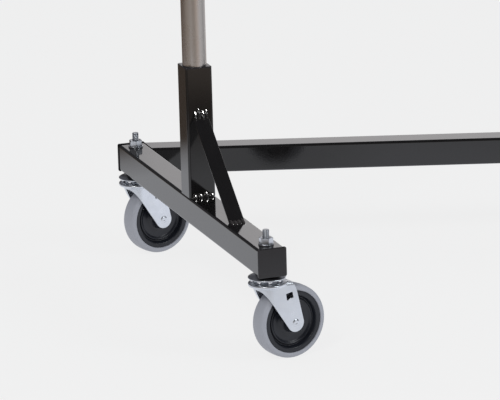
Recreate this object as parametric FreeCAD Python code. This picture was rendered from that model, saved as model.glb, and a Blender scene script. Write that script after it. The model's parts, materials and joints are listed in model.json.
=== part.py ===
# Rolling garment rail with a Z-shaped base.
# Millimetres. The origin is on the floor, midway between the two end legs.
# +X runs along the rail to the right, +Y to the rear, +Z up.
# Two square-tube end legs lie front to back, a diagonal rail joins the rear of the left leg
# to the front of the right one, and a round hoop stands in a socket on each leg.
# The base has half-turn symmetry about Z: each right-hand piece is a left-hand one turned round.
import FreeCAD, Part
import math
import os

from FreeCAD import Vector

# ---- overall sizes ----
OVERALL_LENGTH = 1830.0         # over the outer faces of the legs
OVERALL_DEPTH = 622.3           # over the leg end caps
OVERALL_HEIGHT = 1700.0         # floor to the top of the hang rail

# ---- square tube of the base ----
TUBE = 38.1
TUBE_WALL = 1.9
TUBE_CORNER = 3.2
TUBE_INSIDE = TUBE - 2 * TUBE_WALL
STEM_HOLE_GAP = 0.4             # round a caster stem where it passes through the leg
CAP_FLANGE = 3.0
CAP_PROUD = 1.2                 # of the flange outside the tube, all round
CAP_CORNER = 2.6
CAP_PLUG_LENGTH = 12.0
CAP_PLUG_WALL = 2.0
CAP_PLUG_GAP = 0.2
CAP_PLUG_BORE_CORNER = 1.0
CAP_EDGE = 1.2
SOCKET_HEIGHT = 182.0

# ---- plastic bush in each socket's mouth ----
BUSH_FLANGE = 2.0
BUSH_EDGE = 0.8
BUSH_PLUG_LENGTH = 10.0
BUSH_PLUG_GAP = 0.1             # round the plug, inside the socket
BUSH_BORE_GAP = 0.05            # round the upright

# ---- round tube of the hoop ----
POST_RADIUS = 16.7
POST_WALL = 1.8
UPRIGHT_TOP = 1500.0            # height of the joint between upright and hang rail
BEND_RADIUS = 75.0              # at the tube's centre line
SPIGOT_LENGTH = 160.0
SPIGOT_WALL = 1.7
SPIGOT_GAP = 0.05

# ---- strut ----
STRUT_WIDTH = 22.2
STRUT_THICKNESS = 3.2
STRUT_RISE = 116.4              # from the leg's top face to its upper edge on the socket
STRUT_RUN = 149.0               # from the socket's face to its toe on the leg
BEAD = 6.0                      # leg of a weld bead
BEAD_BULGE = 0.62               # where its face crosses the diagonal, as a share of the leg

# ---- caster ----
WHEEL_RADIUS = 50.8
TYRE_WIDTH = 27.5
TYRE_SHOULDER = 5.5
TYRE_SHOULDER_STEPS = 6
TYRE_SEAT_CHAMFER = 0.8         # of the tyre's edge where it meets the hub
HUB_RADIUS = 43.0
HUB_RIM_HALF = 12.2
HUB_RIM_INNER = 36.0
HUB_RIM_FOOT_HALF = 8.5         # where the rim's inner side meets the web
HUB_WEB_HALF = 5.5
HUB_WEB_START = 19.5            # radii between which the web is flat
HUB_WEB_STOP = 31.0
HUB_BOSS_RADIUS = 12.5
HUB_BOSS_HALF = 15.5
HUB_BOSS_FOOT_RADIUS = 14.5
HUB_BOSS_FOOT_HALF = 7.5
HUB_CHAMFER = 1.0
SLEEVE_RADIUS = 6.0             # of the steel sleeve on the axle
SLEEVE_HALF = 15.95
AXLE_RADIUS = 3.95
AXLE_HEAD_RADIUS = 5.2
AXLE_HEAD_HEIGHT = 1.6
AXLE_HEAD_BROW = (4.3, 1.1)     # radius and height above the fork, on the head's rounding
AXLE_HEAD_FLAT_RADIUS = 2.8
RUNNING_GAP = 0.05
OVERSHOOT = 1.0                 # of a cutting shape past what it cuts
CASTER_HEIGHT = 122.3           # floor to the underside of the leg
TRAIL = 32.0                    # from the swivel axis to the axle
STEM_INSET = 24.6               # from the end of the leg to the swivel axis
STEM_RADIUS = 4.75
STEM_ABOVE_LEG = 21.2
STEM_CHAMFER = 1.0
STEM_HEAD_RADIUS = 8.5
STEM_HEAD_BOTTOM = 102.5
STEM_HEAD_GAP = 0.1
STEM_HEAD_CHAMFER = 1.5
WASHER_RADIUS = 10.5
WASHER_THICKNESS = 2.0
NUT_ACROSS_FLATS = 17.0
NUT_HEIGHT = 8.4
NUT_CHAMFER = 0.9
NUT_TURN = 20.0                 # how far the tightened nut's corners stand from X
CROWN_RADIUS = 25.8
CROWN_RIM_DROP = 5.6            # from the crown's top to the lower edge of its rim
CROWN_BOTTOM = 102.2            # where the crown's cone meets the fork legs
CROWN_TOP = 111.0
CROWN_FLAT_RADIUS = 21.0
CROWN_RIM_HEIGHT = 3.6
CUP_RIM_BOTTOM = 115.4
CUP_RIM_TOP = 117.2
CUP_FLAT_RADIUS = 13.0
CUP_THICKNESS = 1.8
CUP_SHEET_RISE = 0.8            # of the cup's inner cone below the outer one, at the rim
BALL_RADIUS = 3.15
BALL_CIRCLE = 20.6
BALL_COUNT = 9
BALL_TURN = 9.0                 # of the first ball from the trailing direction
BALL_GAP = 0.02                 # between the balls and the crown
FORK_SHEET = 2.5
FORK_HALF = 18.5                # outer face of a fork leg from the wheel's middle plane
FORK_END_RADIUS = 12.6
FORK_THROAT = (-4.8, 84.2)      # upper end of the straight front edge, from swivel axis and floor
FORK_NOSE = (-11.3, 94.0)       # on the curve from there to the front of the crown
FORK_NOSE_TOP = 101.0           # lowest point of the sheet at the front of the crown
FORK_SHOULDER = 29.3            # upper rear corner of a fork leg, from the swivel axis
FORK_HEEL = (34.3, 97.0)        # and the corner below it
FORK_END_START = 5.0            # turn on the rounded end where the rear edge meets it
FORK_END_STOP = 213.0           # and the front edge
WINDOW_WIDTH = 10.5
WINDOW_HEIGHT = 9.5
WINDOW_TILT = 10.0
WINDOW_CENTRE = (23.4, 89.5)    # behind the swivel axis, above the floor

# ---- casters at rest: how far each trails towards the rear from straight inwards ----
FRONT_SWIVEL = 13.0
REAR_SWIVEL = 14.5

# ---- derived places ----
X_AXIS = Vector(1, 0, 0)
Y_AXIS = Vector(0, 1, 0)
Z_AXIS = Vector(0, 0, 1)
ORIGIN = Vector(0, 0, 0)
LEG_X = -(OVERALL_LENGTH - TUBE) / 2
LEG_TUBE_LENGTH = OVERALL_DEPTH - 2 * CAP_FLANGE
LEG_INNER_X = LEG_X + TUBE / 2
LEG_TOP = CASTER_HEIGHT + TUBE
LEG_MID = CASTER_HEIGHT + TUBE / 2
STEM_Y = OVERALL_DEPTH / 2 - STEM_INSET
SOCKET_TOP = LEG_TOP + SOCKET_HEIGHT
POST_BORE = POST_RADIUS - POST_WALL
HANG_RAIL_Z = OVERALL_HEIGHT - POST_RADIUS
SLEEVE_BORE = AXLE_RADIUS + RUNNING_GAP


def rail_angle():
    """Turn of the base rail from X, so that one side ends at a corner of each leg tube."""
    corner_x = -LEG_INNER_X
    corner_y = LEG_TUBE_LENGTH / 2
    reach = math.hypot(corner_x, corner_y)
    return math.atan2(corner_y, corner_x) - math.asin(TUBE / 2 / reach)


# ---- general shapes ----
def rounded_bar(side, length, radius):
    """Square bar on the Z axis from z = 0, its four long edges rounded."""
    bar = Part.makeBox(side, side, length, Vector(-side / 2, -side / 2, 0))
    long_edges = [edge for edge in bar.Edges if edge.BoundBox.ZLength > length / 2]
    return bar.makeFillet(radius, long_edges)


def square_tube(length):
    """The base's square tube on the Z axis from z = 0."""
    outside = rounded_bar(TUBE, length, TUBE_CORNER)
    inside = rounded_bar(TUBE_INSIDE, length, TUBE_CORNER - TUBE_WALL)
    return outside.cut(inside)


def lay_along_y(shape):
    """Turn a shape built on the Z axis so that it runs along Y."""
    return shape.rotate(ORIGIN, X_AXIS, -90)


def polygon(points):
    """Flat face through 3-D points."""
    return Part.Face(Part.makePolygon(points + points[:1]))


def turned(profile):
    """Solid of revolution about Z from (radius, height) points."""
    points = [Vector(radius, 0, height) for radius, height in profile]
    return polygon(points).revolve(ORIGIN, Z_AXIS, 360)


def pipe(radius, wall, length, base, direction=Z_AXIS):
    """Straight round tube."""
    outside = Part.makeCylinder(radius, length, base, direction)
    return outside.cut(Part.makeCylinder(radius - wall, length, base, direction))


def half_turn(shape):
    """The matching piece at the other end of the rail."""
    copy = shape.copy()
    copy.rotate(ORIGIN, Z_AXIS, 180)
    return copy


# ---- base ----
def make_leg():
    """Left end leg, drilled through for the two caster stems."""
    leg = lay_along_y(square_tube(LEG_TUBE_LENGTH))
    leg.translate(Vector(LEG_X, -LEG_TUBE_LENGTH / 2, LEG_MID))
    hole_radius = STEM_RADIUS + STEM_HOLE_GAP
    for side in (-1, 1):
        base = Vector(LEG_X, side * STEM_Y, CASTER_HEIGHT - OVERSHOOT)
        leg = leg.cut(Part.makeCylinder(hole_radius, TUBE + 2 * OVERSHOOT, base))
    return leg


def make_end_cap():
    """Plug in the front end of the left leg: a proud flange and a hollow square spigot."""
    flange = rounded_bar(TUBE + 2 * CAP_PROUD, CAP_FLANGE, CAP_CORNER)
    rim = [edge for edge in flange.Edges if edge.BoundBox.ZMax < CAP_FLANGE / 2]
    flange = flange.makeFillet(CAP_EDGE, rim)
    plug_side = TUBE_INSIDE - CAP_PLUG_GAP
    plug = rounded_bar(plug_side, CAP_PLUG_LENGTH, TUBE_CORNER - TUBE_WALL)
    plug_bore_side = plug_side - 2 * CAP_PLUG_WALL
    plug = plug.cut(rounded_bar(plug_bore_side, CAP_PLUG_LENGTH, CAP_PLUG_BORE_CORNER))
    plug.translate(Vector(0, 0, CAP_FLANGE))
    cap = lay_along_y(flange.fuse(plug))
    cap.translate(Vector(LEG_X, -OVERALL_DEPTH / 2, LEG_MID))
    return cap


def mirror_front_to_rear(shape):
    """The matching piece at the other end of the same leg."""
    return shape.mirror(ORIGIN, Y_AXIS)


def make_base_rail():
    """Diagonal rail, its ends cut to lie flat against the inner faces of the legs."""
    blank_length = 2 * OVERALL_LENGTH
    rail = square_tube(blank_length)
    rail.translate(Vector(0, 0, -blank_length / 2))
    rail.rotate(ORIGIN, Y_AXIS, 90)
    rail.rotate(ORIGIN, Z_AXIS, -math.degrees(rail_angle()))
    rail.translate(Vector(0, 0, LEG_MID))
    span = -2 * LEG_INNER_X
    between_legs = Part.makeBox(span, 2 * OVERALL_DEPTH, 2 * TUBE,
                                Vector(LEG_INNER_X, -OVERALL_DEPTH, LEG_MID - TUBE))
    return rail.common(between_legs)


def make_socket():
    """Left socket: open square tube standing on the middle of the leg."""
    socket = square_tube(SOCKET_HEIGHT)
    socket.translate(Vector(LEG_X, 0, LEG_TOP))
    return socket


def make_socket_bush():
    """Square plug in the left socket's mouth, bored for the round upright, under a thin flange."""
    plug_side = TUBE_INSIDE - 2 * BUSH_PLUG_GAP
    plug = rounded_bar(plug_side, BUSH_PLUG_LENGTH, TUBE_CORNER - TUBE_WALL)
    plug.translate(Vector(0, 0, -BUSH_PLUG_LENGTH))
    flange = rounded_bar(TUBE, BUSH_FLANGE, TUBE_CORNER)
    rim = [edge for edge in flange.Edges if edge.BoundBox.ZMin > BUSH_FLANGE / 2]
    bush = plug.fuse(flange.makeFillet(BUSH_EDGE, rim))
    bore = Part.makeCylinder(POST_RADIUS + BUSH_BORE_GAP, BUSH_PLUG_LENGTH + BUSH_FLANGE,
                             Vector(0, 0, -BUSH_PLUG_LENGTH))
    bush = bush.cut(bore)
    bush.translate(Vector(LEG_X, 0, SOCKET_TOP))
    return bush


def make_strut():
    """Left strut: flat bar, cut upright at the socket and level at the leg."""
    slope = math.hypot(STRUT_RISE, STRUT_RUN)
    drop_at_socket = STRUT_THICKNESS * slope / STRUT_RUN
    back_at_leg = STRUT_THICKNESS * slope / STRUT_RISE
    face_y = -TUBE / 2
    left_x = LEG_X - STRUT_WIDTH / 2
    outline = [
        Vector(left_x, face_y, LEG_TOP + STRUT_RISE),
        Vector(left_x, face_y - STRUT_RUN, LEG_TOP),
        Vector(left_x, face_y - STRUT_RUN + back_at_leg, LEG_TOP),
        Vector(left_x, face_y, LEG_TOP + STRUT_RISE - drop_at_socket),
    ]
    return polygon(outline).extrude(Vector(STRUT_WIDTH, 0, 0))


def weld_bead(corner, first, second, run):
    """Fillet weld in a corner. first and second point out along the two faces; run is its length."""
    start = corner + first * BEAD
    end = corner + second * BEAD
    crest = corner + (first + second) * (BEAD * BEAD_BULGE)
    face = Part.Arc(start, crest, end).toShape()
    section = Part.Wire([Part.makeLine(corner, start), face, Part.makeLine(end, corner)])
    return Part.Face(section).extrude(run)


def make_weld_beads():
    """Beads on the left leg: socket foot, both ends of the strut, and the base rail."""
    face_y = TUBE / 2
    flat = TUBE - 2 * TUBE_CORNER
    along_flat = Vector(flat, 0, 0)
    along_strut = Vector(STRUT_WIDTH, 0, 0)
    strut_slope = Vector(0, -STRUT_RUN, -STRUT_RISE).normalize()
    angle = rail_angle()
    rail_direction = Vector(math.cos(angle), -math.sin(angle), 0)
    rail_front_y = LEG_TUBE_LENGTH / 2 - TUBE / math.cos(angle)
    socket_left = LEG_X - flat / 2
    strut_left = LEG_X - STRUT_WIDTH / 2
    beads = [
        weld_bead(Vector(socket_left, -face_y, LEG_TOP), -Y_AXIS, Z_AXIS, along_flat),
        weld_bead(Vector(socket_left, face_y, LEG_TOP), Y_AXIS, Z_AXIS, along_flat),
        weld_bead(Vector(strut_left, -face_y, LEG_TOP + STRUT_RISE), strut_slope, Z_AXIS, along_strut),
        weld_bead(Vector(strut_left, -face_y - STRUT_RUN, LEG_TOP), -Y_AXIS, -strut_slope, along_strut),
        weld_bead(Vector(LEG_INNER_X, rail_front_y, LEG_MID - flat / 2), -Y_AXIS, rail_direction,
                  Vector(0, 0, flat)),
    ]
    return Part.makeCompound(beads)


# ---- hoop ----
def make_upright():
    """Left upright: round tube that stands on the leg inside the socket."""
    return pipe(POST_RADIUS, POST_WALL, UPRIGHT_TOP - LEG_TOP, Vector(LEG_X, 0, LEG_TOP))


def make_spigot():
    """Hidden sleeve, half in the left upright and half in the hang rail."""
    base = Vector(LEG_X, 0, UPRIGHT_TOP - SPIGOT_LENGTH / 2)
    return pipe(POST_BORE - SPIGOT_GAP, SPIGOT_WALL, SPIGOT_LENGTH, base)


def make_hang_rail():
    """Hang rail: one tube, bent down at both ends to meet the uprights."""
    bend_z = HANG_RAIL_Z - BEND_RADIUS
    leg = pipe(POST_RADIUS, POST_WALL, bend_z - UPRIGHT_TOP, Vector(LEG_X, 0, UPRIGHT_TOP))
    ring = Part.Face(Part.Wire(Part.makeCircle(POST_RADIUS)))
    ring = ring.cut(Part.Face(Part.Wire(Part.makeCircle(POST_BORE))))
    ring.translate(Vector(LEG_X, 0, bend_z))
    bend = ring.Faces[0].revolve(Vector(LEG_X + BEND_RADIUS, 0, bend_z), Y_AXIS, 90)
    straight_start = LEG_X + BEND_RADIUS
    straight = pipe(POST_RADIUS, POST_WALL, -2 * straight_start,
                    Vector(straight_start, 0, HANG_RAIL_Z), X_AXIS)
    return straight.fuse([leg, bend, half_turn(leg), half_turn(bend)]).removeSplitter()


# ---- caster, built with the swivel axis on Z, the floor at z = 0 and the wheel trailing to +X ----
def make_stem():
    """Kingpin: a round head under the fork crown and a threaded end above the leg."""
    top = LEG_TOP + STEM_ABOVE_LEG
    head_top = CROWN_TOP - FORK_SHEET - STEM_HEAD_GAP
    return turned([
        (0, STEM_HEAD_BOTTOM),
        (STEM_HEAD_RADIUS - STEM_HEAD_CHAMFER, STEM_HEAD_BOTTOM),
        (STEM_HEAD_RADIUS, STEM_HEAD_BOTTOM + STEM_HEAD_CHAMFER),
        (STEM_HEAD_RADIUS, head_top),
        (STEM_RADIUS, head_top),
        (STEM_RADIUS, top - STEM_CHAMFER),
        (STEM_RADIUS - STEM_CHAMFER, top),
        (0, top),
    ])


def make_washer():
    """Flat washer on the leg's top face."""
    bore = STEM_RADIUS + RUNNING_GAP
    return turned([
        (bore, LEG_TOP),
        (WASHER_RADIUS, LEG_TOP),
        (WASHER_RADIUS, LEG_TOP + WASHER_THICKNESS),
        (bore, LEG_TOP + WASHER_THICKNESS),
    ])


def make_nut():
    """Hexagon nut with both faces chamfered round."""
    corner_radius = NUT_ACROSS_FLATS / math.sqrt(3)
    bottom = LEG_TOP + WASHER_THICKNESS
    top = bottom + NUT_HEIGHT
    corners = []
    for step in range(6):
        turn = math.radians(60 * step + NUT_TURN)
        corners.append(Vector(corner_radius * math.cos(turn), corner_radius * math.sin(turn), bottom))
    prism = polygon(corners).extrude(Vector(0, 0, NUT_HEIGHT))
    bore = STEM_RADIUS + RUNNING_GAP
    flat_radius = corner_radius - 2 * NUT_CHAMFER
    envelope = turned([
        (bore, bottom),
        (flat_radius, bottom),
        (corner_radius, bottom + NUT_CHAMFER),
        (corner_radius, top - NUT_CHAMFER),
        (flat_radius, top),
        (bore, top),
    ])
    return prism.common(envelope)


def make_race_cup():
    """Upper race: pressed cone with a short rim, clamped under the leg."""
    bore = STEM_RADIUS + RUNNING_GAP
    return turned([
        (bore, CASTER_HEIGHT),
        (CUP_FLAT_RADIUS, CASTER_HEIGHT),
        (CROWN_RADIUS, CUP_RIM_TOP),
        (CROWN_RADIUS, CUP_RIM_BOTTOM),
        (CROWN_RADIUS - CUP_THICKNESS, CUP_RIM_BOTTOM),
        (CROWN_RADIUS - CUP_THICKNESS, CUP_RIM_TOP - CUP_SHEET_RISE),
        (CUP_FLAT_RADIUS, CASTER_HEIGHT - CUP_THICKNESS),
        (bore, CASTER_HEIGHT - CUP_THICKNESS),
    ])


def make_ball_ring():
    """Bearing balls between the cup and the fork crown."""
    balls = []
    for step in range(BALL_COUNT):
        turn = math.radians(BALL_TURN + 360 * step / BALL_COUNT)
        centre = Vector(BALL_CIRCLE * math.cos(turn), BALL_CIRCLE * math.sin(turn),
                        CROWN_TOP + BALL_RADIUS + BALL_GAP)
        balls.append(Part.makeSphere(BALL_RADIUS, centre))
    return Part.makeCompound(balls)


def fork_side_outline():
    """Side view of the fork below its crown, as a prism across the whole fork."""
    axle = Vector(TRAIL, 0, WHEEL_RADIUS)
    bottom_turn = (FORK_END_START + 360 + FORK_END_STOP) / 2

    def on_end(turn):
        angle = math.radians(turn)
        return axle + Vector(math.cos(angle), 0, math.sin(angle)) * FORK_END_RADIUS

    def at(place):
        return Vector(place[0], 0, place[1])

    end_front = on_end(FORK_END_STOP)
    end_rear = on_end(FORK_END_START)
    nose_top = Vector(-FORK_HALF - OVERSHOOT, 0, FORK_NOSE_TOP)
    above_nose = Vector(nose_top.x, 0, CROWN_TOP - CROWN_RIM_DROP)
    above_heel = Vector(FORK_SHOULDER, 0, above_nose.z)
    edges = [
        Part.Arc(end_rear, on_end(bottom_turn), end_front).toShape(),
        Part.makeLine(end_front, at(FORK_THROAT)),
        Part.Arc(at(FORK_THROAT), at(FORK_NOSE), nose_top).toShape(),
        Part.makeLine(nose_top, above_nose),
        Part.makeLine(above_nose, above_heel),
        Part.makeLine(above_heel, at(FORK_HEEL)),
        Part.makeLine(at(FORK_HEEL), end_rear),
    ]
    face = Part.Face(Part.Wire(edges))
    face.translate(Vector(0, -FORK_HALF - OVERSHOOT, 0))
    return face.extrude(Vector(0, 2 * (FORK_HALF + OVERSHOOT), 0))


def u_block(half_width):
    """Upright block with a U-shaped plan: round at the front, open-ended at the rear."""
    nose = Part.makeCylinder(half_width, CROWN_TOP)
    tail = Part.makeBox(TRAIL + FORK_END_RADIUS + OVERSHOOT, 2 * half_width, CROWN_TOP,
                        Vector(0, -half_width, 0))
    return nose.fuse(tail)


def make_fork():
    """Fork: one pressed sheet, its two legs flowing up into a conical crown, the lower race."""
    wall = u_block(FORK_HALF).cut(u_block(FORK_HALF - FORK_SHEET)).common(fork_side_outline())
    bore = STEM_RADIUS + RUNNING_GAP
    rim = CROWN_TOP - CROWN_RIM_DROP
    crown = turned([
        (bore, CROWN_TOP),
        (CROWN_FLAT_RADIUS, CROWN_TOP),
        (CROWN_RADIUS, rim + CROWN_RIM_HEIGHT),
        (CROWN_RADIUS, rim),
        (FORK_HALF, CROWN_BOTTOM),
        (FORK_HALF - FORK_SHEET, CROWN_BOTTOM),
        (CROWN_RADIUS - FORK_SHEET, rim),
        (CROWN_FLAT_RADIUS - FORK_SHEET / 2, CROWN_TOP - FORK_SHEET),
        (bore, CROWN_TOP - FORK_SHEET),
    ])
    fork = wall.fuse(crown)
    near_side = -FORK_HALF - OVERSHOOT
    across = -2 * near_side
    axle_hole = Part.makeCylinder(SLEEVE_BORE, across, Vector(TRAIL, near_side, WHEEL_RADIUS), Y_AXIS)
    window = Part.makeBox(WINDOW_WIDTH, across, WINDOW_HEIGHT,
                          Vector(-WINDOW_WIDTH / 2, near_side, -WINDOW_HEIGHT / 2))
    window.rotate(ORIGIN, Y_AXIS, WINDOW_TILT)
    window.translate(Vector(WINDOW_CENTRE[0], 0, WINDOW_CENTRE[1]))
    return fork.cut([axle_hole, window]).removeSplitter()


def on_axle(shape):
    """Move a piece turned about Z onto the wheel's axle."""
    return lay_along_y(shape).translate(Vector(TRAIL, 0, WHEEL_RADIUS))


def both_sides(half_profile):
    """Close a profile given from the middle plane outwards with its mirror image."""
    return half_profile + [(radius, -height) for radius, height in reversed(half_profile)]


def make_axle():
    """Riveted axle with a low domed head at each end."""
    return on_axle(turned(both_sides([
        (AXLE_RADIUS, FORK_HALF),
        (AXLE_HEAD_RADIUS, FORK_HALF),
        (AXLE_HEAD_BROW[0], FORK_HALF + AXLE_HEAD_BROW[1]),
        (AXLE_HEAD_FLAT_RADIUS, FORK_HALF + AXLE_HEAD_HEIGHT),
        (0, FORK_HALF + AXLE_HEAD_HEIGHT),
    ])))


def make_axle_bush():
    """Steel sleeve that the fork legs clamp and the wheel turns on."""
    return on_axle(turned(both_sides([(SLEEVE_BORE, SLEEVE_HALF), (SLEEVE_RADIUS, SLEEVE_HALF)])))


def make_hub():
    """Moulded wheel centre: rim, dished web and boss."""
    return on_axle(turned(both_sides([
        (SLEEVE_RADIUS + RUNNING_GAP, HUB_BOSS_HALF),
        (HUB_BOSS_RADIUS - HUB_CHAMFER, HUB_BOSS_HALF),
        (HUB_BOSS_RADIUS, HUB_BOSS_HALF - HUB_CHAMFER),
        (HUB_BOSS_FOOT_RADIUS, HUB_BOSS_FOOT_HALF),
        (HUB_WEB_START, HUB_WEB_HALF),
        (HUB_WEB_STOP, HUB_WEB_HALF),
        (HUB_RIM_INNER - HUB_CHAMFER, HUB_RIM_FOOT_HALF),
        (HUB_RIM_INNER, HUB_RIM_HALF - HUB_CHAMFER),
        (HUB_RIM_INNER + HUB_CHAMFER, HUB_RIM_HALF),
        (HUB_RADIUS, HUB_RIM_HALF),
    ])))


def make_tyre():
    """Solid rubber tyre bonded round the wheel centre, its shoulders rounded."""
    half = TYRE_WIDTH / 2
    arc_centre = (WHEEL_RADIUS - TYRE_SHOULDER, half - TYRE_SHOULDER)
    profile = [(HUB_RADIUS, half - TYRE_SEAT_CHAMFER), (HUB_RADIUS + TYRE_SEAT_CHAMFER, half)]
    for step in range(TYRE_SHOULDER_STEPS + 1):
        turn = math.radians(90 * step / TYRE_SHOULDER_STEPS)
        profile.append((arc_centre[0] + TYRE_SHOULDER * math.sin(turn),
                        arc_centre[1] + TYRE_SHOULDER * math.cos(turn)))
    return on_axle(turned(both_sides(profile)))


def place_caster_piece(shape, swivel, y):
    """Put a caster piece on the left leg, swivelled from straight inwards."""
    copy = shape.copy()
    copy.rotate(ORIGIN, Z_AXIS, swivel)
    copy.translate(Vector(LEG_X, y, 0))
    return copy


def make_nodes():
    """Every piece of the rail by name."""
    left = {
        "leg": make_leg(),
        "socket": make_socket(),
        "socket_bush": make_socket_bush(),
        "strut": make_strut(),
        "weld_beads": make_weld_beads(),
        "upright": make_upright(),
        "spigot": make_spigot(),
    }
    nodes = {"base_rail": make_base_rail(), "hang_rail": make_hang_rail()}
    for name, shape in left.items():
        nodes["left_" + name] = shape
        nodes["right_" + name] = half_turn(shape)

    front_cap = make_end_cap()
    rear_cap = mirror_front_to_rear(front_cap)
    nodes["front_left_end_cap"] = front_cap
    nodes["rear_left_end_cap"] = rear_cap
    nodes["rear_right_end_cap"] = half_turn(front_cap)
    nodes["front_right_end_cap"] = half_turn(rear_cap)

    caster = {
        "stem": make_stem(),
        "race_cup": make_race_cup(),
        "ball_ring": make_ball_ring(),
        "fork": make_fork(),
        "axle": make_axle(),
        "axle_bush": make_axle_bush(),
        "wheel_hub": make_hub(),
        "tyre": make_tyre(),
    }
    corners = [
        ("front_left", "rear_right", FRONT_SWIVEL, -STEM_Y),
        ("rear_left", "front_right", REAR_SWIVEL, STEM_Y),
    ]
    fasteners = {"stem_washers": make_washer(), "stem_nuts": make_nut()}
    groups = {name: [] for name in fasteners}
    for corner, opposite, swivel, y in corners:
        for name, shape in caster.items():
            piece = place_caster_piece(shape, swivel, y)
            nodes[corner + "_" + name] = piece
            nodes[opposite + "_" + name] = half_turn(piece)
        for name, shape in fasteners.items():
            piece = place_caster_piece(shape, swivel, y)
            groups[name] += [piece, half_turn(piece)]
    for name, pieces in groups.items():
        nodes[name] = Part.makeCompound(pieces)
    return nodes


os.makedirs("parts", exist_ok=True)
for node, shape in make_nodes().items():
    shape.exportStep("parts/" + node + ".step")
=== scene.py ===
"""Looks of the rolling garment rail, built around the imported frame. Metres, in the row frame."""

import json
import math
import random

import bmesh
import bpy
from mathutils import Matrix, Vector


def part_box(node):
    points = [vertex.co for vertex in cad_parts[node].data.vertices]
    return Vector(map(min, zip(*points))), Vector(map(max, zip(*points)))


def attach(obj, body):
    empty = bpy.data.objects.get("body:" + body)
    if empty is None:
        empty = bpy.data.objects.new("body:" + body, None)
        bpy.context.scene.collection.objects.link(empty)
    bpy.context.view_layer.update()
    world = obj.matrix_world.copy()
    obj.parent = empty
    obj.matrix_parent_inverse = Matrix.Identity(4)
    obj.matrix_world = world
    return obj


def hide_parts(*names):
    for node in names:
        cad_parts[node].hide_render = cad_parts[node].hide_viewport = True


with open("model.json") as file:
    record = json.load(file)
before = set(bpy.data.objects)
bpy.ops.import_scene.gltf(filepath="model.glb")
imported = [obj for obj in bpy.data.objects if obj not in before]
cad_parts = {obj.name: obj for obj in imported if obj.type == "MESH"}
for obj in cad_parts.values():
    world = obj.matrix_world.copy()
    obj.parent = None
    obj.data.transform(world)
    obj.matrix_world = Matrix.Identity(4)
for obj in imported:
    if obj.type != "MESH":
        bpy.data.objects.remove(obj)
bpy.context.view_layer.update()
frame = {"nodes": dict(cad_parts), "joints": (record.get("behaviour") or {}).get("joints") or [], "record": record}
MM = 0.001

# ---- camera ----
CAMERA_PLACE = Vector((-2.9579, -6.4009, 1.9540))
CAMERA_YAW = 18.46              # degrees from +Y towards +X
CAMERA_PITCH = 15.02            # degrees below level
CAMERA_ROLL = 1.63
CAMERA_LENS = 362.3
SENSOR_WIDTH = 36.0


def make_camera():
    """The photograph's viewpoint: from the front left, a little above the base."""
    yaw, pitch, roll = (math.radians(a) for a in (CAMERA_YAW, CAMERA_PITCH, CAMERA_ROLL))
    forward = Vector((math.sin(yaw) * math.cos(pitch), math.cos(yaw) * math.cos(pitch),
                      -math.sin(pitch)))
    level_right = Vector((math.cos(yaw), -math.sin(yaw), 0))
    level_down = forward.cross(level_right)
    right = math.cos(roll) * level_right + math.sin(roll) * level_down
    up = math.sin(roll) * level_right - math.cos(roll) * level_down
    data = bpy.data.cameras.new("camera")
    data.sensor_width = SENSOR_WIDTH
    data.sensor_fit = "HORIZONTAL"
    data.lens = CAMERA_LENS
    data.clip_end = 100
    camera = bpy.data.objects.new("camera", data)
    bpy.context.scene.collection.objects.link(camera)
    turn = Matrix((right, up, -forward)).transposed().to_4x4()
    camera.matrix_world = Matrix.Translation(CAMERA_PLACE) @ turn
    bpy.context.scene.camera = camera


make_camera()
bpy.context.scene.view_settings.view_transform = "Standard"


# ---- node helpers ----
def new_material(name):
    """Empty node material with an output, and its node tree."""
    material = bpy.data.materials.new(name)
    material.use_nodes = True
    tree = material.node_tree
    tree.nodes.clear()
    return material, tree


def add(tree, kind, inputs=(), **settings):
    """A node of this kind, with settings on the node and links or values on its sockets."""
    node = tree.nodes.new("ShaderNode" + kind)
    for name, value in settings.items():
        setattr(node, name, value)
    for name, value in dict(inputs).items():
        if isinstance(value, bpy.types.NodeSocket):
            tree.links.new(value, node.inputs[name])
        else:
            node.inputs[name].default_value = value
    return node


def noise(tree, scale, detail=2.0, roughness=0.5):
    """Noise over the piece's own coordinates, as a socket from 0 to 1."""
    place = add(tree, "TexCoord").outputs["Object"]
    return add(tree, "TexNoise", {"Vector": place, "Scale": scale, "Detail": detail,
                                  "Roughness": roughness}).outputs["Fac"]


def spread(tree, value, low, high, start=0.3, end=0.7):
    """A socket from low to high as value goes from start to end."""
    return add(tree, "MapRange", {"Value": value, "From Min": start, "From Max": end,
                                  "To Min": low, "To Max": high}).outputs["Result"]


def blend_colours(tree, factor, first, second):
    """First colour where factor is 0, second where it is 1."""
    ramp = add(tree, "ValToRGB", {"Fac": factor})
    ramp.color_ramp.elements[0].color = (*first, 1)
    ramp.color_ramp.elements[1].color = (*second, 1)
    return ramp.outputs["Color"]


def bump(tree, height, distance):
    """Normal socket for a height pattern that stands distance metres high."""
    return add(tree, "Bump", {"Height": height, "Distance": distance}).outputs["Normal"]


def finish_material(material, tree, **sockets):
    """Close the material with a Principled shader that has these sockets."""
    names = {name.replace("_", " "): value for name, value in sockets.items()}
    shader = add(tree, "BsdfPrincipled", names)
    add(tree, "OutputMaterial", {"Surface": shader.outputs["BSDF"]})
    return material


# ---- materials ----
def black_paint():
    """High gloss black paint with a faint orange peel, a little duller in patches."""
    material, tree = new_material("black_paint")
    patch = noise(tree, 90, 4, 0.6)
    colour = blend_colours(tree, patch, (0.0045, 0.0042, 0.0042), (0.0075, 0.007, 0.0072))
    roughness = spread(tree, noise(tree, 35, 5, 0.65), 0.05, 0.10)
    peel = bump(tree, noise(tree, 420, 1), 0.000012)
    return finish_material(material, tree, Base_Color=colour, Roughness=roughness, IOR=1.52,
                           Normal=peel)


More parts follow.
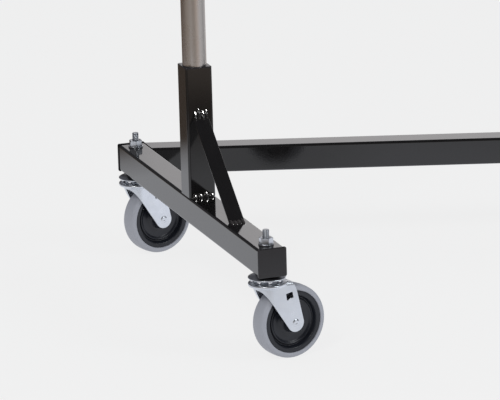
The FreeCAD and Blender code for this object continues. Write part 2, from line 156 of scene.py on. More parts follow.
def satin_chrome():
    """Plated tube, evenly satin, with a faint cloud in the finish."""
    material, tree = new_material("satin_chrome")
    cloud = noise(tree, 14, 2, 0.5)
    colour = blend_colours(tree, cloud, (0.575, 0.545, 0.525), (0.62, 0.60, 0.585))
    roughness = spread(tree, noise(tree, 30, 2, 0.5), 0.26, 0.30)
    return finish_material(material, tree, Base_Color=colour, Metallic=1.0, Roughness=roughness)


def bright_zinc():
    """Bright zinc plate: a cool, slightly uneven bloom."""
    material, tree = new_material("bright_zinc")
    bloom = noise(tree, 70, 3, 0.6)
    colour = blend_colours(tree, bloom, (0.60, 0.635, 0.69), (0.67, 0.69, 0.71))
    roughness = spread(tree, noise(tree, 90, 2, 0.5), 0.27, 0.36)
    return finish_material(material, tree, Base_Color=colour, Metallic=1.0, Roughness=roughness)


def ball_steel():
    """Polished bearing steel with a film of grease."""
    material, tree = new_material("ball_steel")
    film = noise(tree, 260, 2)
    colour = blend_colours(tree, film, (0.62, 0.62, 0.63), (0.78, 0.78, 0.80))
    roughness = spread(tree, film, 0.06, 0.16)
    return finish_material(material, tree, Base_Color=colour, Metallic=1.0, Roughness=roughness)


def wheel_black():
    """Moulded black plastic, semi-gloss, clouded where it cooled unevenly."""
    material, tree = new_material("wheel_black")
    flow = noise(tree, 70, 4, 0.6)
    colour = blend_colours(tree, flow, (0.007, 0.0085, 0.0125), (0.012, 0.0135, 0.019))
    roughness = spread(tree, noise(tree, 60, 2), 0.27, 0.36)
    return finish_material(material, tree, Base_Color=colour, Roughness=roughness, IOR=1.44)


def tyre_grey():
    """Smooth grey rubber with a little dust and a fine grain."""
    material, tree = new_material("tyre_grey")
    dust = noise(tree, 60, 5, 0.65)
    colour = blend_colours(tree, dust, (0.285, 0.297, 0.338), (0.335, 0.345, 0.385))
    roughness = spread(tree, dust, 0.50, 0.66)
    normal = bump(tree, noise(tree, 1500, 3), 0.00003)
    return finish_material(material, tree, Base_Color=colour, Roughness=roughness, IOR=1.45,
                           Normal=normal)


def cap_black():
    """Moulded black end cap."""
    material, tree = new_material("cap_black")
    flow = noise(tree, 90, 4, 0.6)
    colour = blend_colours(tree, flow, (0.009, 0.0085, 0.010), (0.014, 0.013, 0.015))
    roughness = spread(tree, noise(tree, 180, 3), 0.16, 0.26)
    normal = bump(tree, noise(tree, 1200, 2), 0.000012)
    return finish_material(material, tree, Base_Color=colour, Roughness=roughness, IOR=1.5,
                           Normal=normal)


MATERIALS = {make.__name__: make() for make in (
    black_paint, satin_chrome, bright_zinc, ball_steel, wheel_black, tyre_grey, cap_black)}


def paint_cad_nodes():
    """Give each CAD node the material of its record slot."""
    for row in frame["record"]["subparts"]:
        node = frame["nodes"][row["node"]]
        for material_slot in node.material_slots:
            material_slot.material = MATERIALS[row["material_slot"]]


paint_cad_nodes()


# ---- mesh helpers, in millimetres ----
CORNERS = ("front_left", "front_right", "rear_left", "rear_right")
SHARP_ANGLE = 38.0              # degrees between faces, above which their edge shades sharp
WELD_GAP = 0.002                # points closer than this become one


def shaded_mesh(name, points, faces, slot):
    """Mesh with outward faces, smooth but for its sharp edges."""
    mesh = bpy.data.meshes.new(name)
    mesh.from_pydata([Vector(point) * MM for point in points], [], faces)
    work = bmesh.new()
    work.from_mesh(mesh)
    bmesh.ops.remove_doubles(work, verts=work.verts, dist=WELD_GAP * MM)
    bmesh.ops.recalc_face_normals(work, faces=work.faces)
    work.to_mesh(mesh)
    work.free()
    mesh.shade_smooth()
    mesh.set_sharp_from_angle(angle=math.radians(SHARP_ANGLE))
    mesh.materials.append(MATERIALS[slot])
    return mesh


def put_piece(name, mesh, slot, matrix, body, *nodes):
    """Object in place on its body, shown instead of those CAD nodes."""
    piece = bpy.data.objects.new(name, mesh)
    bpy.context.scene.collection.objects.link(piece)
    piece.matrix_world = matrix
    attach(piece, body)
    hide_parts(*nodes)


def rounded(profile, radius, steps=4):
    """Closed (radius, height) profile with small arcs for corners."""
    most = 0.45                 # share of a side that one corner's arc may take
    result = []
    for index, corner in enumerate(profile):
        here = Vector(corner)
        before = Vector(profile[index - 1]) - here
        after = Vector(profile[(index + 1) % len(profile)]) - here
        start = here + before.normalized() * min(radius, most * before.length)
        end = here + after.normalized() * min(radius, most * after.length)
        for step in range(steps + 1):
            t = step / steps
            result.append(start * (1 - t) ** 2 + here * 2 * t * (1 - t) + end * t * t)
    return result


def grid_faces(rows, columns, closed_rows=False, closed_columns=False):
    """Quads over points that are listed row by row."""
    last_row = rows if closed_rows else rows - 1
    last_column = columns if closed_columns else columns - 1
    faces = []
    for row in range(last_row):
        for column in range(last_column):
            next_row = (row + 1) % rows
            next_column = (column + 1) % columns
            faces.append((row * columns + column, row * columns + next_column,
                          next_row * columns + next_column, next_row * columns + column))
    return faces


def turned(name, profile, slot, steps=96):
    """Solid turned about Z from a closed (radius, height) profile."""
    points = []
    for step in range(steps):
        turn = 2 * math.pi * step / steps
        points += [(radius * math.cos(turn), radius * math.sin(turn), height)
                   for radius, height in profile]
    return shaded_mesh(name, points, grid_faces(steps, len(profile), True, True), slot)


def both_sides(half_profile):
    """Close a profile given from the middle plane outwards with its mirror image."""
    return half_profile + [(radius, -height) for radius, height in reversed(half_profile)]


def between(points, x):
    """Height at x of the line through (x, height) points in rising x."""
    for (x0, z0), (x1, z1) in zip(points, points[1:]):
        if x <= x1:
            return z0 + (z1 - z0) * max(0.0, (x - x0) / (x1 - x0))
    return points[-1][1]


def corner_frames(corner):
    """Swivel frame on the floor and wheel frame on the axle. X trails and Z points up."""
    joints = {joint["name"]: Vector(joint["pos_m"]) for joint in frame["joints"]
              if "pos_m" in joint}
    swivel = joints[corner + "_swivel"]
    wheel = joints[corner + "_roll"]
    turn = Matrix.Rotation(math.atan2(wheel.y - swivel.y, wheel.x - swivel.x), 4, "Z")
    on_floor = Matrix.Translation((swivel.x, swivel.y, 0))
    return on_floor @ turn, Matrix.Translation(wheel) @ turn


FRAMES = {corner: corner_frames(corner) for corner in CORNERS}
ON_AXLE = Matrix.Rotation(math.radians(-90), 4, "X")
LEG_LOW, LEG_HIGH = (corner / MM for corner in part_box("left_leg"))
LEG_MIDDLE_X = (LEG_LOW.x + LEG_HIGH.x) / 2


# ---- fork: X is behind the stem, Y out from the middle plane and Z above the floor ----
SHEET = 2.5
WHEEL_RADIUS = 50.8
FORK_HALF = 18.5                # middle plane to a leg's outer face
AXLE_X = 32.0
AXLE_Z = WHEEL_RADIUS
END_RADIUS = 12.6               # of each leg's lower end, round the axle
END_STEPS = 12
SHOULDER_X = 29.3               # where the crown ends and each leg's rear edge starts
SHOULDER_COLUMN = 14            # its place in fork_plan()
CROWN_TOP = 111.0
CROWN = ((4.85, 0), (9, 0), (14, 0), (19, 0), (21, 0.2), (22.4, 0.7), (24.2, 1.5), (25.0, 1.9))
RIM_RADIUS = 25.8
# Rolled rim: out and down from the rim, each with what a full overhang adds.
RIM_ROLL = ((-0.3, 0, 2.2, 0), (0, 0, 2.9, 0), (0, 0, 3.5, 0.9), (0, -0.3, 3.9, 1.7))
WALL_TOP = 106.4
WALL_ROWS = 26
LIP_STEPS = 14                  # along the crown's rear lip
PUNCHED_EDGE = 0.35             # width that eases the cut edges
FRONT_EDGE = ((-18.5, 100.9), (-16.8, 100.2), (-14.2, 97.7), (-11.3, 94), (-8, 89.2),
              (-4.8, 84.2), (21.4, 43.9))
REAR_EDGE = ((29.3, 106.4), (31.8, 103.8), (33.7, 99.5), (35.0, 95.0), (44.6, 51.9))
WINDOW_MIDDLE = (23.4, 89.5)
WINDOW_TILT = 10.0
WINDOW_SHAPE = ((-5.4, -4.3), (-2.9, -4.6), (-0.4, -3.2), (5.2, -4.0), (5.2, 4.6), (-5.0, 4.6))


def lower_edge(x):
    """Height of a fork leg's front and lower edge at x."""
    if x > FRONT_EDGE[-1][0]:
        return AXLE_Z - math.sqrt(max(0.0, END_RADIUS ** 2 - (x - AXLE_X) ** 2))
    return between(FRONT_EDGE, x)


def fork_plan():
    """Places along the sheet in plan, from the end of one leg round the front to the other."""
    half = []
    for step in range(END_STEPS):
        turn = math.radians(90 * step / END_STEPS)
        half.append((AXLE_X + END_RADIUS * math.cos(turn), FORK_HALF))
    half += [(x, FORK_HALF) for x in (31.2, 30.2)]
    half += [(SHOULDER_X * (1 - step / 16), FORK_HALF) for step in range(17)]
    for step in range(1, 21):
        turn = math.radians(90 + 90 * step / 20)
        half.append((FORK_HALF * math.cos(turn), FORK_HALF * math.sin(turn)))
    return half + [(x, -y) for x, y in reversed(half[:-1])]


def crown_line(x, y):
    """Points from the stem hole out over the crown's rim to the top of the wall at x, y."""
    reach = math.hypot(x, y)
    rim = max(RIM_RADIUS, reach - 0.8)
    overhang = max(0.0, min(1.0, (rim - reach) / (RIM_RADIUS - FORK_HALF)))
    line = [(radius, CROWN_TOP - drop) for radius, drop in CROWN]
    for out, out_more, drop, drop_more in RIM_ROLL:
        line.append((rim + out + out_more * overhang, CROWN_TOP - drop - drop_more * overhang))
    line += [(rim + 0.45 * (reach - rim), WALL_TOP - 2.6 * overhang),
             (reach, WALL_TOP - 0.4 - 3.6 * overhang)]
    return [(x / reach * radius, y / reach * radius, height) for radius, height in line]


def add_rear_lip(points, faces, columns):
    """Carry the crown round behind the stem, from one leg's shoulder to the other's."""
    left, right = columns[SHOULDER_COLUMN], columns[-1 - SHOULDER_COLUMN]
    rows = sorted(row for row in left if row < 0)[:len(CROWN) + 1]
    start_turn = math.atan2(-FORK_HALF, SHOULDER_X)
    outer = math.hypot(SHOULDER_X, FORK_HALF) - 1.15
    previous = [right[row] for row in rows]
    for step in range(1, LIP_STEPS + 1):
        turn = start_turn * (1 - 2 * step / LIP_STEPS)
        if step == LIP_STEPS:
            current = [left[row] for row in rows]
        else:
            current = []
            for row in rows:
                x, y, height = points[left[row]]
                radius = math.hypot(x, y)
                if row == rows[-1]:
                    radius = min(outer, (SHOULDER_X - 1.0) / math.cos(turn))
                current.append(len(points))
                points.append((radius * math.cos(turn), radius * math.sin(turn), height))
        for index in range(len(rows) - 1):
            faces.append((previous[index], previous[index + 1], current[index + 1],
                          current[index]))
        previous = current


def make_fork_mesh():
    """One pressed sheet: crown, rim and two legs, its window punched through both legs."""
    points, faces, columns = [], [], []
    for x, y in fork_plan():
        column = {}
        crown = crown_line(x, y) if x <= SHOULDER_X else []
        top = crown[-1][2] if crown else between(REAR_EDGE, x)
        low = lower_edge(x)
        for row, point in enumerate(crown):
            column[row - len(crown)] = len(points)
            points.append(point)
        for row in range(WALL_ROWS + 1):
            column[row] = len(points)
            points.append((x, y, top + (low - top) * row / WALL_ROWS))
        columns.append(column)
    for first, second in zip(columns, columns[1:]):
        for row in first:
            if row + 1 in first and row in second and row + 1 in second:
                faces.append((first[row], first[row + 1], second[row + 1], second[row]))
    add_rear_lip(points, faces, columns)
    return thickened(shaded_mesh("fork_sheet", points, faces, "bright_zinc"))


def window_cutter():
    """Prism through both fork legs in the shape of the window."""
    tilt = math.radians(-WINDOW_TILT)
    points = []
    for y in (-2 * FORK_HALF, 2 * FORK_HALF):
        for along, up in WINDOW_SHAPE:
            points.append((WINDOW_MIDDLE[0] + along * math.cos(tilt) + up * math.sin(tilt), y,
                           WINDOW_MIDDLE[1] - along * math.sin(tilt) + up * math.cos(tilt)))
    count = len(WINDOW_SHAPE)
    faces = grid_faces(2, count, closed_columns=True)
    faces += [tuple(range(count)), tuple(range(count, 2 * count))]
    return shaded_mesh("window_cutter", points, faces, "bright_zinc")


def thickened(sheet):
    """The sheet with its thickness, the window cut out and the punched edges eased."""
    work = bpy.data.objects.new("fork_work", sheet)
    cutter = bpy.data.objects.new("fork_cutter", window_cutter())
    for obj in (work, cutter):
        bpy.context.scene.collection.objects.link(obj)
    solid = work.modifiers.new("thickness", "SOLIDIFY")
    solid.thickness = SHEET * MM
    solid.offset = -1
    solid.use_even_offset = True
    cut = work.modifiers.new("window", "BOOLEAN")
    cut.object = cutter
    cut.operation = "DIFFERENCE"
    ease = work.modifiers.new("ease", "BEVEL")
    ease.width = PUNCHED_EDGE * MM
    ease.segments = 2
    ease.limit_method = "ANGLE"
    ease.angle_limit = math.radians(55)
    graph = bpy.context.evaluated_depsgraph_get()
    mesh = bpy.data.meshes.new_from_object(work.evaluated_get(graph))
    mesh.name = "fork_sheet"
    mesh.shade_smooth()
    mesh.set_sharp_from_angle(angle=math.radians(SHARP_ANGLE))
    for obj in (work, cutter):
        bpy.data.objects.remove(obj)
    return mesh


# ---- caster fittings ----
STEM_HOLE = 4.85                # radius in cup and washer
STEM_RISE = 21.2                # stem's tip above the leg
WASHER_THICKNESS = 2.0
NUT_TURNS = (20, 47, 6, 31)     # degrees at which the four nuts came to rest


def make_cup_mesh():
    """Pressed upper race, a shallow cone with a rolled rim."""
    rim = RIM_RADIUS
    profile = [(STEM_HOLE, 122.3), (13, 122.3), (rim - 1, 117.4), (rim, 116.8), (rim, 115.4),
               (rim - 1.6, 115.4), (rim - 1.8, 116.4), (13, 120.5), (STEM_HOLE, 120.5)]
    return turned("race_cup", rounded(profile, 0.7), "bright_zinc")


def ring(radius, height, columns):
    """Points round Z at one radius and height."""
    turns = (2 * math.pi * column / columns for column in range(columns))
    return [(radius * math.cos(turn), radius * math.sin(turn), height) for turn in turns]


def make_stem_mesh():
    """Kingpin with a rolled thread above the leg and a chamfered tip."""
    pitch, depth, radius = 1.5, 0.75, 4.75
    chamfer = 0.9
    top = LEG_HIGH.z + STEM_RISE
    thread_start = LEG_HIGH.z + 1
    columns, rows_per_turn = 32, 8
    rows = int((top - thread_start) / pitch * rows_per_turn)
    points = []
    for radius_low, height in ((0, 102.5), (7, 102.5), (8.5, 104), (8.5, 107.6), (4.8, 108.3)):
        points += ring(radius_low, height, columns)
    for row in range(rows + 1):
        height = thread_start + (top - thread_start) * row / rows
        for column in range(columns):
            phase = ((height / pitch) - column / columns) % 1.0
            groove = depth * abs(2 * phase - 1)
            reach = min(radius - groove, radius - chamfer + (top - height) * chamfer)
            turn = 2 * math.pi * column / columns
            points.append((reach * math.cos(turn), reach * math.sin(turn), height))
    points += ring(2.6, top + 0.05, columns) + ring(0, top - 0.25, columns)
    rows_in_all = len(points) // columns
    return shaded_mesh("stem", points, grid_faces(rows_in_all, columns, False, True),
                       "bright_zinc")


def make_rivet_mesh():
    """Axle rivet: a low dome with a shallow dimple at each end."""
    half = FORK_HALF
    profile = both_sides([(0, half + 0.75), (1.0, half + 0.8), (1.9, half + 1.1), (3.2, half + 1.15),
                          (4.4, half + 0.7), (5.2, half), (3.95, half - 0.02)])
    return turned("rivet", profile, "bright_zinc", 64)


def make_nut_mesh():
    """Hexagon nut, its corners chamfered on both faces."""
    flats, height, bore, chamfer = 17.0, 8.4, 4.0, 1.1
    steps = 144
    corner = flats / math.sqrt(3)
    low = LEG_HIGH.z + WASHER_THICKNESS
    rows = [(bore, 0.6), (bore + 0.9, 0.0), (flats / 2 - 0.5, 0.0)]
    rows += [(corner - chamfer * (1 - t), 0.55 * chamfer * t) for t in (0.2, 0.6, 1.0)]
    rows += [(radius, height - up) for radius, up in reversed(rows)]
    points = []
    for radius, up in rows:
        for step in range(steps):
            turn = math.radians(360 * step / steps)
            in_sector = (turn % math.radians(60)) - math.radians(30)
            reach = min(radius, flats / 2 / math.cos(in_sector))
            points.append((reach * math.cos(turn), reach * math.sin(turn), low + up))
    return shaded_mesh("nut", points, grid_faces(len(rows), steps, False, True), "bright_zinc")


def make_washer_mesh():
    """Flat washer with pressed edges."""
    radius, low = 10.5, LEG_HIGH.z
    high = low + WASHER_THICKNESS
    profile = [(STEM_HOLE, low), (radius, low), (radius, high), (STEM_HOLE, high)]
    return turned("washer", rounded(profile, 0.45), "bright_zinc", 64)


def make_hub_mesh():
    """Moulded wheel centre: broad rim, a groove and a ridge, dished web and boss."""
    profile = both_sides([
        (6.05, 15.3), (11.6, 15.5), (12.5, 14.8), (13.6, 8.6), (15.5, 6.4), (20, 5.6), (28.0, 5.9),
        (29.6, 7.0), (31.0, 7.9), (32.2, 7.3), (33.2, 5.4), (34.4, 5.6), (35.6, 9.8), (36.4, 11.5),
        (37.4, 12.0), (42.2, 12.3), (43.0, 11.6)])
    return turned("wheel_hub", rounded(profile, 0.5, 3), "wheel_black", 128)


def make_tyre_mesh():
    """Solid tyre with a slightly crowned tread and soft shoulders."""
    half, radius, shoulder = 13.75, WHEEL_RADIUS, 6.2
    steps = 8
    side = []
    for step in range(steps + 1):
        turn = math.radians(90 * step / steps)
        side.append((radius - 0.35 - shoulder * (1 - math.sin(turn)),
                     half - shoulder * (1 - math.cos(turn))))
    edge = [(42.6, half - 2.4), (43.1, half - 0.6)]
    tread = [(radius - 0.12, half * 0.35), (radius, half * 0.12)]
    return turned("tyre", both_sides(edge + side + tread), "tyre_grey", 160)


def build_casters():
    """All four casters from one set of meshes."""
    fork, cup, stem, rivet = make_fork_mesh(), make_cup_mesh(), make_stem_mesh(), make_rivet_mesh()
    hub, tyre = make_hub_mesh(), make_tyre_mesh()
    for corner in CORNERS:
        swivel, wheel = FRAMES[corner]
        on_axle = wheel @ ON_AXLE
        put_piece(corner + "_fork_sheet", fork, "bright_zinc", swivel, corner + "_swivel",
                  corner + "_fork")
        put_piece(corner + "_rivet", rivet, "bright_zinc", on_axle, corner + "_swivel",
                  corner + "_axle")
        put_piece(corner + "_cup", cup, "bright_zinc", swivel, "frame", corner + "_race_cup")
        put_piece(corner + "_kingpin", stem, "bright_zinc", swivel, "frame", corner + "_stem")
        put_piece(corner + "_hub", hub, "wheel_black", on_axle, corner + "_wheel",
                  corner + "_wheel_hub")
        put_piece(corner + "_tread", tyre, "tyre_grey", on_axle, corner + "_wheel",
                  corner + "_tyre")


def build_fasteners():
    """Nuts and washers on the four stems, each nut stopped at its own angle."""
    nut, washer = make_nut_mesh(), make_washer_mesh()
    for index, corner in enumerate(CORNERS):
        swivel, _ = FRAMES[corner]
        turn = Matrix.Rotation(math.radians(NUT_TURNS[index]), 4, "Z")
        put_piece(corner + "_nut", nut, "bright_zinc", swivel @ turn, "frame", "stem_nuts")
        put_piece(corner + "_washer", washer, "bright_zinc", swivel, "frame", "stem_washers")


# ---- strut and welds ----
STRUT_THICKNESS = 3.2
STRUT_EDGE = 1.5                # radius of its rolled edges
STRUT_ROWS = 24
WELD_SEED = 7
SOCKET_FLAT = 33.0              # width of a socket's face between its rounded corners
RAIL_ON_LEG = 41.0              # width that the base rail takes up along the leg
PUDDLE_SIZES = (0.86, 1.18)     # shares of the bead's size
PUDDLE_LEANS = (-0.22, 0.22)
PUDDLE_NECK = 0.52              # size between two puddles, as a share of theirs
BEAD_TAPER = 1.6                # length over which a bead's end runs out
BEAD_END = 0.3                  # size there, as a share of the bead's
BEAD_ROWS_PER_MM = 4
BEAD_ARC = 12                   # steps across the bead's face


def make_strut_mesh():
    """Flat bar with rolled edges, cut upright at the socket and level at the leg."""
    low, high = (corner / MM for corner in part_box("left_strut"))
    slope = Vector((0, low.y - high.y, low.z - high.z)).normalized()
    out = Vector((0, slope.z, -slope.y))
    if out.z < 0:
        out = -out
    half = (high.x - low.x) / 2
    section = rounded([(-half, 0), (half, 0), (half, -STRUT_THICKNESS),
                       (-half, -STRUT_THICKNESS)], STRUT_EDGE, 6)
    middle = (low.x + high.x) / 2
    start = Vector((middle, high.y, high.z))
    points = []
    for row in range(STRUT_ROWS + 1):
        for across, depth in section:
            place = start + out * depth + Vector((across, 0, 0))
            at_socket = (high.y - place.y) / slope.y
            at_leg = (low.z - place.z) / slope.z
            points.append(place + slope * (at_socket + (at_leg - at_socket) * row / STRUT_ROWS))
    count = len(section)
    last = STRUT_ROWS * count
    faces = grid_faces(STRUT_ROWS + 1, count, False, True)
    faces += [tuple(range(count)), tuple(range(last, last + count))]
    return shaded_mesh("strut", points, faces, "black_paint")


def bead_points(corner, first, second, run, size, puddle_length, chance):
    """Rows of points over one bead: a chain of puddles that vary in size and lean."""
    length = run.length
    steps = int(length * BEAD_ROWS_PER_MM)
    puddles = max(3, round(length / puddle_length))
    sizes = [chance.uniform(*PUDDLE_SIZES) for _ in range(puddles)]
    leans = [chance.uniform(*PUDDLE_LEANS) for _ in range(puddles)]
    rows = []
    for step in range(steps + 1):
        share = step / steps
        place = share * puddles
        index = min(int(place), puddles - 1)
        bulge = math.sqrt(max(0.0, 1 - (2 * (place - index) - 1) ** 2))
        scale = size * sizes[index] * (PUDDLE_NECK + (1 - PUDDLE_NECK) * bulge)
        lean = leans[index] * bulge
        ends = min(1.0, share * length / BEAD_TAPER, (1 - share) * length / BEAD_TAPER)
        scale *= BEAD_END + (1 - BEAD_END) * ends
        row = []
        for arc_step in range(BEAD_ARC + 1):
            angle = math.radians(90 * arc_step / BEAD_ARC)
            reach_first = math.cos(angle) * (1 + lean) * scale
            reach_second = math.sin(angle) * (1 - lean) * scale
            row.append(corner + run * share + first * reach_first + second * reach_second)
        rows.append(row + [corner + run * share])
    return rows


def make_beads_mesh():
    """Rippled welds at the socket's foot, at both ends of the strut and at the base rail."""
    chance = random.Random(WELD_SEED)
    socket_low, socket_high = (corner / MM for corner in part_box("left_socket"))
    strut_low, strut_high = (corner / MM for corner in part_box("left_strut"))
    ahead, up, right = Vector((0, -1, 0)), Vector((0, 0, 1)), Vector((1, 0, 0))
    slope = Vector((0, strut_low.y - strut_high.y, strut_low.z - strut_high.z)).normalized()
    left = LEG_MIDDLE_X - SOCKET_FLAT / 2
    socket_run = right * SOCKET_FLAT
    strut_run = right * (strut_high.x - strut_low.x)
    rail_y = LEG_HIGH.y - RAIL_ON_LEG
    # Each row: start of the bead, the two directions that its legs take, its run, the length
    # of a leg and the length of a puddle.
    beads = [
        (Vector((left, socket_low.y, LEG_HIGH.z)), ahead, up, socket_run, 6.6, 8.5),
        (Vector((left, socket_high.y, LEG_HIGH.z)), -ahead, up, socket_run, 5.6, 8.5),
        (Vector((strut_low.x, strut_high.y, strut_high.z)), slope, up, strut_run, 7.0, 5.0),
        (Vector((strut_low.x, strut_low.y, strut_low.z)), ahead, -slope, strut_run, 6.2, 5.0),
        (Vector((LEG_HIGH.x, rail_y, LEG_LOW.z + 3)), ahead, right, up * 32, 5.0, 5.0),
    ]
    points, faces = [], []
    for corner, first, second, run, size, puddle_length in beads:
        rows = bead_points(corner, first, second, run, size, puddle_length, chance)
        start = len(points)
        count = len(rows[0])
        for row in rows:
            points += row
        faces += [tuple(start + index for index in face)
                  for face in grid_faces(len(rows), count, False, True)]
        last = start + (len(rows) - 1) * count
        faces += [tuple(range(start, start + count)), tuple(range(last, last + count))]
    return shaded_mesh("weld_beads", points, faces, "black_paint")


def build_uprights_feet():
    """Struts and welds of both legs. The right-hand ones are the left-hand ones turned round."""
    strut, beads = make_strut_mesh(), make_beads_mesh()
    for side, turn in (("left", 0), ("right", 180)):
        matrix = Matrix.Rotation(math.radians(turn), 4, "Z")
        put_piece(side + "_strut_bar", strut, "black_paint", matrix, "frame", side + "_strut")
        put_piece(side + "_welds", beads, "black_paint", matrix, "frame", side + "_weld_beads")


build_casters()
build_fasteners()
build_uprights_feet()


# ---- stage, in metres ----
FLOOR_SIZE = 30.0
FLOOR_LEVEL = 0.883             # of the floor's light, which renders as 239 of 255
FLOOR_SHADE = 0.10              # share of the floor's light that a shadow can take
FLOOR_ALBEDO = 0.9              # of that share
REFLECTED_FLOOR_REACH = 12.0
REFLECTED_FLOOR_CELLS = 240
DOME_RADIUS = 40.0
DOME_LOWEST = -12.0             # degrees of elevation
DOME_CELLS = (180, 60)
WORLD_COLOUR = (0.95, 0.97, 1.0, 1)
WORLD_LEVEL = 0.64


def grid_mesh(name, place, colour, columns, rows):
    """Mesh of columns by rows cells. place gives a point for two numbers from 0 to 1, and
    colour gives the light at that point."""
    mesh = bpy.data.meshes.new(name)
    across = [column / columns for column in range(columns + 1)]
    down = [row / rows for row in range(rows + 1)]
    points = [place(u, v) for v in down for u in across]
    width = columns + 1
    faces = [(row * width + column, row * width + column + 1,
              (row + 1) * width + column + 1, (row + 1) * width + column)
             for row in range(rows) for column in range(columns)]
    mesh.from_pydata(points, [], faces)
    layer = mesh.color_attributes.new("light", "FLOAT_COLOR", "POINT")
    for index, point in enumerate(points):
        layer.data[index].color = (*colour(Vector(point)), 1)
    return mesh


def only_reflected(obj):
    """Seen in reflections and nowhere else."""
    obj.visible_camera = False
    obj.visible_diffuse = False
    obj.visible_shadow = False
    obj.visible_transmission = False
    obj.visible_volume_scatter = False


def light_material():
    """Emission taken from the mesh's own light attribute."""
    material, tree = new_material("studio_light")
    colour = add(tree, "Attribute", attribute_name="light").outputs["Color"]
    glow = add(tree, "Emission", {"Color": colour, "Strength": 1.0})
    add(tree, "OutputMaterial", {"Surface": glow.outputs["Emission"]})
    return material


def smooth(edge_start, edge_end, value):
    """0 before edge_start, 1 after edge_end, smooth between."""
    t = min(max((value - edge_start) / (edge_end - edge_start), 0), 1)
    return t * t * (3 - 2 * t)


def mix(first, second, share):
    """First colour where share is 0, second where it is 1."""
    return tuple(a + (b - a) * share for a, b in zip(first, second))


BASE_HALF = Vector((0.915, 0.311, 0))   # half of the base frame's length and depth
WHITE = (0.865, 0.88, 0.925)
BETWEEN_LEGS = (1.06, 1.08, 1.16)
BROWN = (0.15, 0.115, 0.09)
DIM_GREY = (0.34, 0.29, 0.245)
WARM_GREY = (0.66, 0.545, 0.465)
COOL_GREY = (0.575, 0.58, 0.595)
BACKDROP = (1.21, 1.18, 1.195)
CEILING = (0.10, 0.10, 0.11)


def floor_light(point):
    """The studio floor as the glossy pieces see it: white near the rail's left end, brown
    further away, and grey again to the rear and right of that."""
    beyond_x = abs(point.x) - BASE_HALF.x
    ahead = -point.y - BASE_HALF.y
    behind = point.y - BASE_HALF.y
    past_left_leg = point.x + BASE_HALF.x
    distance = math.hypot(past_left_leg, point.y)
    azimuth = math.degrees(math.atan2(past_left_leg, point.y))
    dim = max(smooth(0.34, 0.84, ahead), smooth(0.42, 0.60, behind),
              smooth(0.75, 0.95, beyond_x), smooth(-0.25, 0.25, point.x))
    inside = smooth(-0.08, -0.22, beyond_x) * smooth(0.25, 0.05, ahead)
    far = mix(DIM_GREY, WARM_GREY, smooth(-0.3, 0.7, past_left_leg))
    far = mix(far, COOL_GREY, smooth(0.6, 1.5, past_left_leg))
    lit = smooth(1.15, 1.45, distance) * max(smooth(1.2, -0.5, point.y), smooth(20, 34, azimuth))
    return mix(mix(WHITE, BETWEEN_LEGS, inside), mix(BROWN, far, lit), dim)


def dome_light(point):
    """The studio round the rail as the glossy pieces see it: a bright backdrop low at the rear
    right, dark elsewhere."""
    direction = point.normalized()
    azimuth = math.degrees(math.atan2(direction.x, direction.y))
    elevation = math.degrees(math.asin(max(-1, min(1, direction.z))))
    across = smooth(12.5, 17, azimuth) * smooth(75, 50, azimuth)
    upwards = smooth(20, 17, elevation) * smooth(-1, 6, elevation)
    return mix(CEILING, BACKDROP, across * upwards)


def make_floor():
    """Plain pale floor: mostly its own light, with a little that shadows can take."""
    half = FLOOR_SIZE / 2
    flat = bpy.data.meshes.new("floor")
    flat.from_pydata([(-half, -half, 0), (half, -half, 0), (half, half, 0), (-half, half, 0)],
                     [], [(0, 1, 2, 3)])
    floor = bpy.data.objects.new("floor", flat)
    material, tree = new_material("pale_floor")
    glow = add(tree, "Emission", {"Color": (1, 1, 1, 1),
                                  "Strength": FLOOR_LEVEL * (1 - FLOOR_SHADE)})
    matt = add(tree, "BsdfDiffuse", {"Color": (FLOOR_SHADE * FLOOR_ALBEDO,) * 3 + (1,)})
    both = add(tree, "AddShader")
    tree.links.new(glow.outputs["Emission"], both.inputs[0])
    tree.links.new(matt.outputs["BSDF"], both.inputs[1])
    add(tree, "OutputMaterial", {"Surface": both.outputs["Shader"]})
    flat.materials.append(material)
    floor.visible_glossy = False
    bpy.context.scene.collection.objects.link(floor)


def on_floor(u, v):
    """Place on the reflected floor for u and v from 0 to 1."""
    return (2 * u - 1) * REFLECTED_FLOOR_REACH, (2 * v - 1) * REFLECTED_FLOOR_REACH, 0.0


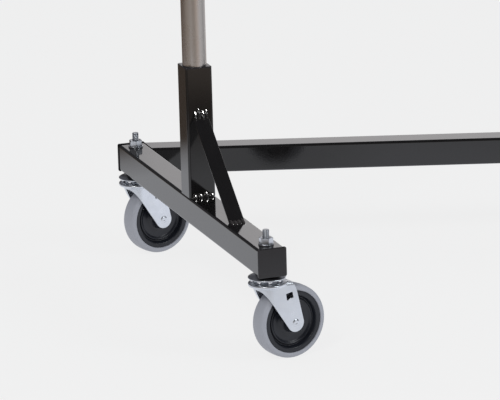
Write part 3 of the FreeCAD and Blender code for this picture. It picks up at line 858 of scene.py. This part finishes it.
def on_dome(u, v):
    """Place on the reflected dome: u goes round it and v up it, from 0 to 1."""
    azimuth = 2 * math.pi * u
    elevation = math.radians(DOME_LOWEST + (90 - DOME_LOWEST) * v)
    return (DOME_RADIUS * math.sin(azimuth) * math.cos(elevation),
            DOME_RADIUS * math.cos(azimuth) * math.cos(elevation),
            DOME_RADIUS * math.sin(elevation))


def make_reflected_studio():
    """Floor and dome of light that only reflections see."""
    floor_mesh = grid_mesh("floor_reflection", on_floor, floor_light, REFLECTED_FLOOR_CELLS,
                           REFLECTED_FLOOR_CELLS)
    dome_mesh = grid_mesh("studio_reflection", on_dome, dome_light, *DOME_CELLS)
    light = light_material()
    for mesh in (floor_mesh, dome_mesh):
        mesh.materials.append(light)
        card = bpy.data.objects.new(mesh.name, mesh)
        only_reflected(card)
        bpy.context.scene.collection.objects.link(card)


def make_world():
    """Even white light for matt surfaces."""
    world = bpy.data.worlds.new("studio")
    world.use_nodes = True
    background = world.node_tree.nodes["Background"]
    background.inputs["Color"].default_value = WORLD_COLOUR
    background.inputs["Strength"].default_value = WORLD_LEVEL
    bpy.context.scene.world = world


def soft_light(name, place, target, size, power, colour):
    """Square softbox that faces target."""
    data = bpy.data.lights.new(name, "AREA")
    data.shape = "SQUARE"
    data.size = size
    data.energy = power
    data.color = colour
    lamp = bpy.data.objects.new(name, data)
    lamp.location = place
    lamp.rotation_euler = (Vector(target) - Vector(place)).to_track_quat("-Z", "Y").to_euler()
    bpy.context.scene.collection.objects.link(lamp)
    return lamp


def weld_sparkle():
    """Bright lamp that puts glints on the lumps of the welds and lights nothing else."""
    lamp = soft_light("sparkle", (0.25, -0.40, 2.10), (-0.9, 0, 0.16), 0.8, 260, (1.0, 0.99, 0.97))
    welds = bpy.data.collections.new("welds")
    for side in ("left", "right"):
        welds.objects.link(bpy.data.objects[side + "_welds"])
    lamp.light_linking.receiver_collection = welds


make_floor()
make_reflected_studio()
make_world()
soft_light("key", (-3.2, -3.0, 3.4), (-0.6, 0, 0.2), 1.0, 60, (1.0, 0.98, 0.95))
soft_light("fill", (2.2, -3.4, 2.6), (-0.4, 0, 0.2), 1.2, 50, (0.93, 0.97, 1.0))
weld_sparkle()
